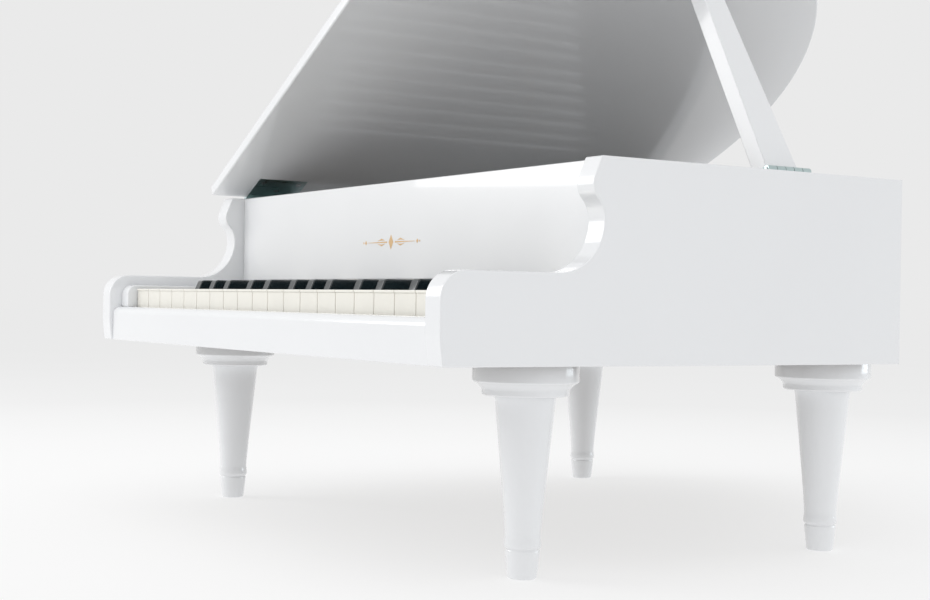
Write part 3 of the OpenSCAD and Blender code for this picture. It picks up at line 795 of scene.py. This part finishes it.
def key_places(k):
    """The cap's sides, its tail's sides and the lever's middle, across the keyboard."""
    low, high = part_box(KEY_NODES[k])
    if is_black(k):
        return low.x, high.x, low.x, high.x, (low.x + high.x) / 2
    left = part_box(KEY_NODES[k - 1])[1].x + KEY_GAP if k > 0 and is_black(k - 1) else low.x
    if k + 1 < SEMITONES and is_black(k + 1):
        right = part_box(KEY_NODES[k + 1])[0].x - KEY_GAP
        return low.x, high.x, left, right, (left + right) / 2
    reach = low.x + END_TAIL if k == SEMITONES - 1 else high.x
    return low.x, high.x, left, high.x, (left + reach) / 2


def add_action(bm, middle, width, front):
    """The lever with its hammer head and lead weight, in the piece's second to fourth finish."""
    half = width / 2
    add_part(bm, brick(from_front(middle - half, front, LEVER_LOW),
                       from_front(middle + half, LEVER_BACK, LEVER_HIGH), 0.4 * MM), 1)
    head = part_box(KEY_NODES[0])[1].z - CASE_BOTTOM - HAMMER_ROUND
    back = LEVER_BACK - HAMMER_IN
    depth = HAMMER_ROUND * 0.8
    add_part(bm, brick(from_front(middle - HAMMER_HALF, back - depth, LEVER_HIGH),
                       from_front(middle + HAMMER_HALF, back + depth, head), 0.3 * MM), 2)
    add_part(bm, rod(from_front(middle - HAMMER_HALF, back, head), 2 * HAMMER_HALF, HAMMER_ROUND,
                     "X", 24, 0.3 * MM), 2)
    lead = half + LEAD_PROUD
    add_part(bm, rod(from_front(middle - lead, LEVER_BACK - LEAD_IN, LEAD_UP), 2 * lead,
                     LEAD_RADIUS, "X"), 3)


class PIANO_OT_white_keys(Operator):
    """Build the white keys with their levers, hammers and weights."""

    bl_idname = "piano.white_keys"
    bl_label = "White keys"

    def execute(self, context):
        s = sizes()
        for k in range(SEMITONES):
            if is_black(k):
                continue
            left, right, tail_left, tail_right, middle = key_places(k)
            bm = bmesh.new()
            outline = [(left, WHITE_FRONT), (right, WHITE_FRONT)]
            if tail_right < right - 1e-5:
                outline += [(right, WHITE_HEAD), (tail_right, WHITE_HEAD)]
            outline += [(tail_right, CAP_BACK), (tail_left, CAP_BACK)]
            if tail_left > left + 1e-5:
                outline += [(tail_left, WHITE_HEAD), (left, WHITE_HEAD)]
            lip = WHITE_TOP - s.lip_height
            points = [from_front(x, y, lip) for x, y in outline]
            add_part(bm, extruded(points, (0, 0, s.lip_height), None, s.key_round, 3))
            skirt = WHITE_FRONT + s.lip_reach
            boxes = [
                ((left, skirt, LEVER_LOW), (right, skirt + SKIRT, lip)),
                ((left, skirt + SKIRT, CAP_LOW), (right, WHITE_HEAD, lip)),
                ((tail_left, WHITE_HEAD, CAP_LOW), (tail_right, CAP_BACK, lip)),
            ]
            for wall in (left, right - WALL):
                boxes.append(((wall, skirt + 1.8 * MM, LEVER_LOW),
                              (wall + WALL, WHITE_HEAD, CAP_LOW + 0.1 * MM)))
            for low, high in boxes:
                add_part(bm, brick(from_front(*low), from_front(*high), 0.2 * MM))
            add_action(bm, middle, LEVER_WIDTH, LEVER_FRONT)
            piece(f"{KEY_NODES[k]}_built", bm, ["ivory", "wood", "hammer", "lead"], KEY_NODES[k],
                  [KEY_NODES[k]])
        return {"FINISHED"}


class PIANO_OT_black_keys(Operator):
    """Build the black keys with their levers, hammers and weights."""

    bl_idname = "piano.black_keys"
    bl_label = "Black keys"

    def execute(self, context):
        s = sizes()
        for k in filter(is_black, range(SEMITONES)):
            left, right, _, _, middle = key_places(k)
            bm = bmesh.new()
            outline = [(BLACK_FRONT, CAP_LOW), (BLACK_FRONT, WHITE_TOP),
                       (BLACK_FRONT + BLACK_LEAN, BLACK_TOP), (CAP_BACK, BLACK_TOP),
                       (CAP_BACK, CAP_LOW)]
            add_part(bm, extruded([from_front(left, b, u) for b, u in outline],
                                  (right - left, 0, 0), {2: (1.3 * MM, 5)}, s.black_round, 4, 35))
            add_action(bm, middle, right - left, BLACK_FRONT + 1 * MM)
            piece(f"{KEY_NODES[k]}_built", bm, ["black", "wood", "hammer", "lead"], KEY_NODES[k],
                  [KEY_NODES[k]])
        return {"FINISHED"}


class PIANO_OT_action(Operator):
    """Build the key frame, rails and felts, and finish the rod, pins and tone tubes."""

    bl_idname = "piano.action"
    bl_label = "Action and tone tubes"

    def execute(self, context):
        piece("key_base_frame", refined("key_frame", 0.3 * MM, 2, 50), ["wood"], "case",
              ["key_frame"])
        piece("tube_rest_rails", refined("tube_rails", 0.4 * MM, 2, 50), ["wood"], "case",
              ["tube_rails"])
        piece("felt_beds", refined("felt_strips", 0.5 * MM, 3, 50), ["felt"], "case",
              ["felt_strips"])
        repaint("steel", "pivot_rod", "guide_pins", "case_screws", "lid_screws", "lid_hinge_pins",
                "prop_hinge_pin")
        repaint("tube", "tone_tubes")
        repaint("brass", "tube_pins")
        return {"FINISHED"}


# ---------------------------------------------------------------- lid, prop and hinges


def swing_lid(bm, angle):
    bmesh.ops.rotate(bm, verts=bm.verts, cent=LID_AXIS, matrix=Matrix.Rotation(angle, 3, "Y"))


# Where the recesses of the shut lid lie across the case
PROP_RECESS = 179.9 * MM, 210.1 * MM
HINGE_RECESS = -220.1 * MM, -179.9 * MM


class PIANO_OT_lid(Operator):
    """Build the lid, whose edges are rounded in its shut place, outside its recesses."""

    bl_idname = "piano.lid"
    bl_label = "Lid"

    def execute(self, context):
        bm = bmesh.new()
        bm.from_mesh(frame["nodes"]["lid"].data)
        swing_lid(bm, LID_OPEN)
        merge_flat(bm)
        leaf_low, leaf_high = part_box("prop_hinge_rim_leaf")
        recesses = [(*PROP_RECESS, leaf_low.y - 6 * MM, leaf_high.y + 6 * MM)]
        recesses += [(*HINGE_RECESS, low - 0.4 * MM, high + 0.4 * MM)
                     for low, high in hinge_spans("lid_hinge_lid_leaves", 4)]

        def skipped(e):
            return any(all(a < v.co.x < b and c < v.co.y < d for v in e.verts)
                       for a, b, c, d in recesses)

        edges = [e for e in sharp_edges(bm, 40) if not skipped(e)]
        soften(bm, sizes().lid_round, 4, edges=edges)
        swing_lid(bm, -LID_OPEN)
        piece("lid_board", bm, ["lacquer"], "lid", ["lid"])
        repaint("hinge", "lid_hinge_case_leaves", "lid_hinge_lid_leaves", "prop_hinge_rim_leaf",
                "prop_hinge_prop_leaf")
        return {"FINISHED"}


class PIANO_OT_prop(Operator):
    """Build the tapered prop that holds the lid open."""

    bl_idname = "piano.prop"
    bl_label = "Prop"

    def execute(self, context):
        piece("lid_prop", refined("prop", 0.7 * MM, 4), ["lacquer"], "prop", ["prop"])
        return {"FINISHED"}


# A leg's turned outline as radius and height over the floor, in millimetres
LEG_HEIGHT = 102
LEG_OUTLINE = [
    (0, 0), (6.3, 0), (7, 0.7), (7.6, 6), (8.3, 12.4), (8.2, 13.3), (7.9, 13.7), (8.0, 14.2),
    (8.7, 14.8), (8.9, 15.6), (8.9, 17.0), (8.75, 18.2), (8.55, 19.6), (8.5, 21), (9.3, 31.5),
    (10.45, 43.5), (12.6, 65), (14.3, 82), (14.85, 86.3), (20.4, 86.5), (21, 87.1), (21, 89.2),
    (21.3, 89.9), (22.6, 91.3), (23.5, 92.2), (24.8, 92.7), (25.5, 93.4), (25.5, 95.2),
    (25.5, 101.2), (24.9, LEG_HEIGHT), (0, LEG_HEIGHT),
]


class PIANO_OT_legs(Operator):
    """Turn the four legs."""

    bl_idname = "piano.legs"
    bl_label = "Legs"

    def execute(self, context):
        for name in LEGS:
            low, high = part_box(name)
            centre = Vector(((low.x + high.x) / 2, (low.y + high.y) / 2, 0))
            top, disc = high.z, (high.x - low.x) / 2
            points = [(min(r * MM, disc), top * t / LEG_HEIGHT) for r, t in LEG_OUTLINE]
            leg = turned(points, centre, "Z", sizes().turning_steps)
            soften(leg, 0.2 * MM, 2, 40)
            piece(f"{name}_turned", leg, ["lacquer"], "case", [name])
        return {"FINISHED"}


# ---------------------------------------------------------------- stage


FLOOR_SIZE = 15
STUDIO_STRENGTH = 0.823
# Each light's place, what it is turned to, its size in metres, its power in watts and its colour
SOFTBOXES = {
    "front_softbox": ((-1.05, -1.25, 0.7), (-0.2, -0.2, 0.15), (1.0, 0.8), 7.0, (1, 1, 1)),
    "top_softbox": ((0.1, -0.6, 1.4), (0.05, -0.3, 0.0), (1.8, 1.8), 3.2, (1, 1, 1)),
    "fill_softbox": ((1.2, -1.3, 0.35), (0.0, 0.0, 0.05), (1.2, 0.6), 0.3, (0.6, 0.8, 1.0)),
    "back_softbox": ((0.75, 1.9, 0.3), (0.1, 0.1, 0.2), (0.9, 0.5), 4.5, (0.85, 0.94, 1.0)),
}
CAMERA_PLACE = 0.77306, -0.56988, 0.1295
CAMERA_TURN = 57.69, 0.13, 1.06  # yaw to the left of +Y, pitch up and roll, in degrees
CAMERA_LENS = 60


def softbox(name, place, aim, size, power, colour):
    data = bpy.data.lights.new(name, "AREA")
    data.shape = "RECTANGLE"
    data.size, data.size_y = size
    data.energy = power
    data.color = colour
    light = bpy.data.objects.new(name, data)
    light.location = place
    light.rotation_euler = (Vector(aim) - Vector(place)).to_track_quat("-Z", "Y").to_euler()
    bpy.context.scene.collection.objects.link(light)


class PIANO_OT_stage(Operator):
    """Set the floor, the studio light and the camera."""

    bl_idname = "piano.stage"
    bl_label = "Stage"

    def execute(self, context):
        bm = bmesh.new()
        bmesh.ops.create_grid(bm, x_segments=8, y_segments=8, size=FLOOR_SIZE)
        mesh = bpy.data.meshes.new("floor")
        bm.to_mesh(mesh)
        bm.free()
        mesh.materials.append(FINISHES["floor"])
        floor = bpy.data.objects.new("floor", mesh)
        context.scene.collection.objects.link(floor)
        world = bpy.data.worlds.new("studio")
        world.use_nodes = True
        sky = world.node_tree.nodes["Background"]
        sky.inputs["Color"].default_value = (1.0, 1.0, 1.0, 1)
        sky.inputs["Strength"].default_value = STUDIO_STRENGTH
        context.scene.world = world
        context.scene.view_settings.view_transform = "Standard"
        for name, light in SOFTBOXES.items():
            softbox(name, *light)
        yaw, pitch, roll = (math.radians(angle) for angle in CAMERA_TURN)
        ahead = Vector((-math.sin(yaw) * math.cos(pitch), math.cos(yaw) * math.cos(pitch),
                        math.sin(pitch)))
        side = ahead.cross(Vector((0, 0, 1))).normalized()
        up = side.cross(ahead)
        right = math.cos(roll) * side + math.sin(roll) * up
        top = -math.sin(roll) * side + math.cos(roll) * up
        data = bpy.data.cameras.new("studio_camera")
        data.sensor_width = 36
        data.lens = CAMERA_LENS
        data.clip_start, data.clip_end = 0.01, 60
        camera = bpy.data.objects.new("studio_camera", data)
        turn = Matrix((right, top, -ahead)).transposed().to_4x4()
        camera.matrix_world = Matrix.Translation(CAMERA_PLACE) @ turn
        context.scene.collection.objects.link(camera)
        context.scene.camera = camera
        return {"FINISHED"}


class PIANO_PT_panel(Panel):
    """Lists the piano's settings and its building steps."""

    bl_idname = "PIANO_PT_panel"
    bl_label = "Miniature Grand Piano"
    bl_space_type = "VIEW_3D"
    bl_region_type = "UI"
    bl_category = "Piano"

    def draw(self, context):
        for group in (context.scene.piano_sizes, context.scene.piano_colours):
            box = self.layout.box()
            for name in group.bl_rna.properties.keys():
                if name not in ("rna_type", "name"):
                    box.prop(group, name)
        for operator in OPERATORS:
            self.layout.operator(operator.bl_idname)


OPERATORS = (
    PIANO_OT_side_boards, PIANO_OT_case_boards, PIANO_OT_ornament, PIANO_OT_white_keys,
    PIANO_OT_black_keys, PIANO_OT_action, PIANO_OT_lid, PIANO_OT_prop, PIANO_OT_legs,
    PIANO_OT_stage,
)
CLASSES = (PianoSizes, PianoColours, *OPERATORS, PIANO_PT_panel)


def register():
    for cls in CLASSES:
        bpy.utils.register_class(cls)
    bpy.types.Scene.piano_sizes = PointerProperty(type=PianoSizes)
    bpy.types.Scene.piano_colours = PointerProperty(type=PianoColours)


def unregister():
    del bpy.types.Scene.piano_colours
    del bpy.types.Scene.piano_sizes
    for cls in reversed(CLASSES):
        bpy.utils.unregister_class(cls)


def main():
    register()
    FINISHES.update(make_finishes(bpy.context.scene.piano_colours))
    for operator in OPERATORS:
        group, name = operator.bl_idname.split(".")
        getattr(getattr(bpy.ops, group), name)()
    bpy.context.view_layer.update()


if __name__ == "__main__":
    main()
